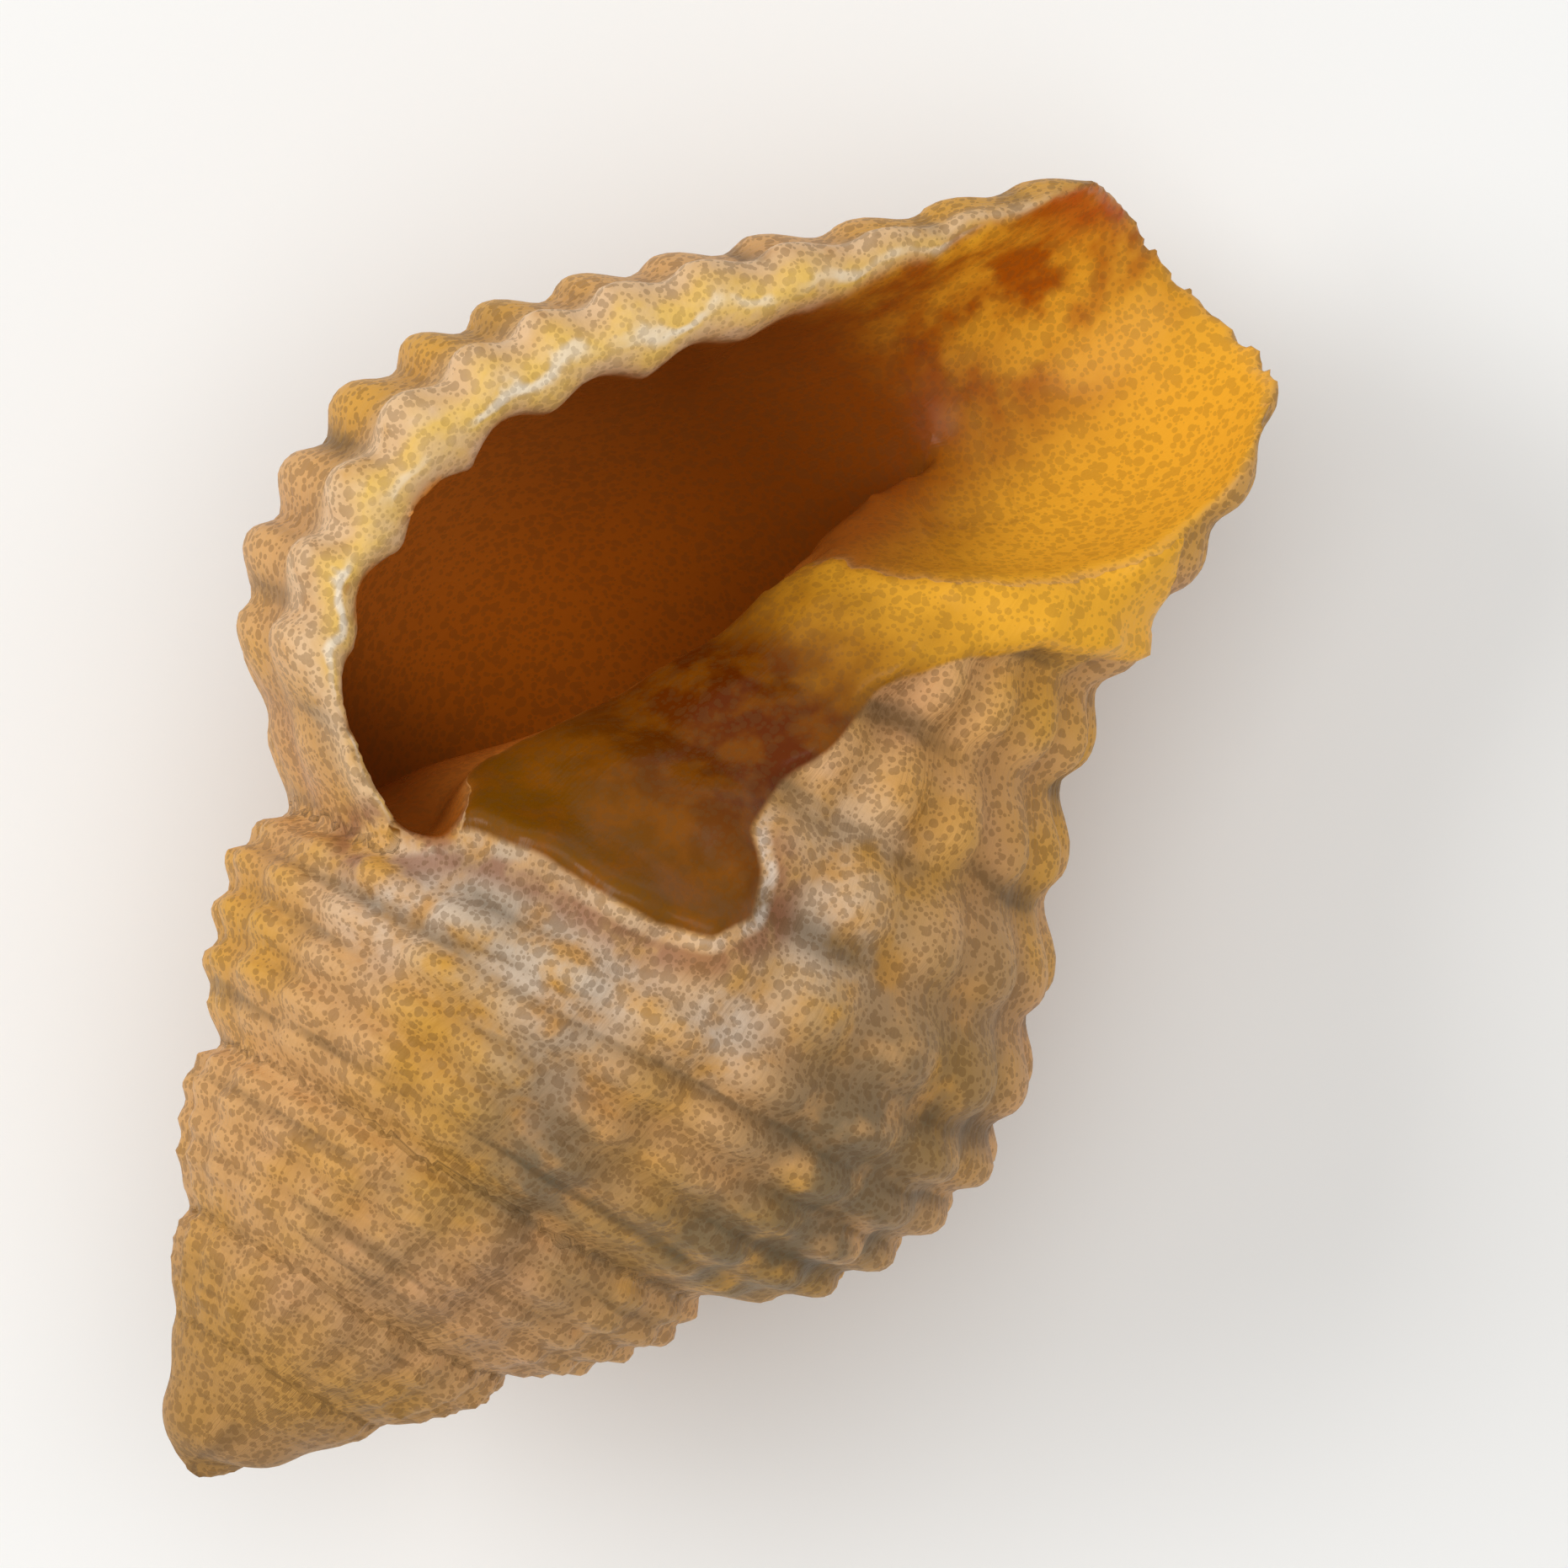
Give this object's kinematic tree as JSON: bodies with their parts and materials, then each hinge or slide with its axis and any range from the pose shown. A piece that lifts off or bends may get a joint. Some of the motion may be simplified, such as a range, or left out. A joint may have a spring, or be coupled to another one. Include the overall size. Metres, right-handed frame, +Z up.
{
  "type": "nassarius margaritifer shell",
  "caption": "Empty beaded dogwhelk shell lying on its back with the aperture up, one natural piece about 28 mm long.",
  "frame": {"origin": "middle of the box's underside, on the surface that the shell lies on", "axes": "+X runs from the apex to the siphonal end, +Z is up, on the side of the aperture, and the outer lip is on the +Y side"},
  "size_m": [0.0276, 0.0174, 0.0146],
  "materials": {
    "shell": "satin aragonite, tan with fine brown speckles, glossy orange-brown inside the aperture"
  },
  "bodies": {
    "root": {"shell": "shell"}
  },
  "joints": []
}
